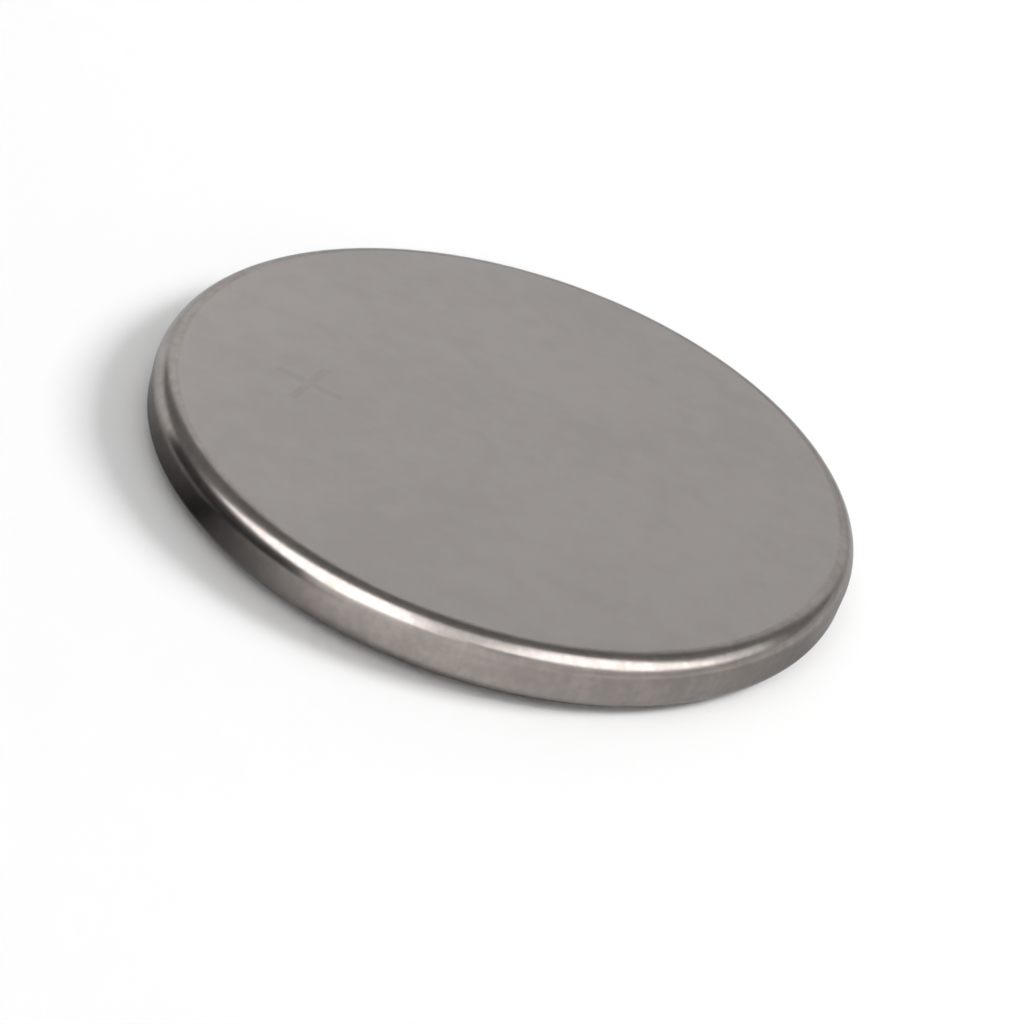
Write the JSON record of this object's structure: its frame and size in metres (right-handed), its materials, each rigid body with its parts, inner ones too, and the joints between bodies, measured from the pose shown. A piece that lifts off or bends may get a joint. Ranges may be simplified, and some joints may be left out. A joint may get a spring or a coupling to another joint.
{
  "type": "lithium coin cell",
  "caption": "Flat round coin cell: a steel can rolled over a plastic gasket and a stepped steel cap, with anode, separator and cathode sealed inside.",
  "frame": {"origin": "centre of the negative contact face, where the cell stands", "axes": "+Z along the cell's axis, from the negative contact to the positive contact"},
  "size_m": [0.02, 0.02, 0.0016],
  "materials": {
    "can_steel": "satin face, polished corner and wall",
    "gasket_plastic": "moulded polypropylene with a dark sealant film",
    "cap_steel": "satin",
    "lithium": "soft dull foil",
    "separator_fleece": "non-woven polypropylene",
    "pellet": "pressed black powder",
    "ring_steel": "pressed sheet"
  },
  "bodies": {
    "root": {"positive_can": "can_steel", "gasket": "gasket_plastic", "negative_cap": "cap_steel", "lithium_disc": "lithium", "separator": "separator_fleece", "cathode_pellet": "pellet", "cathode_ring": "ring_steel"}
  },
  "joints": []
}
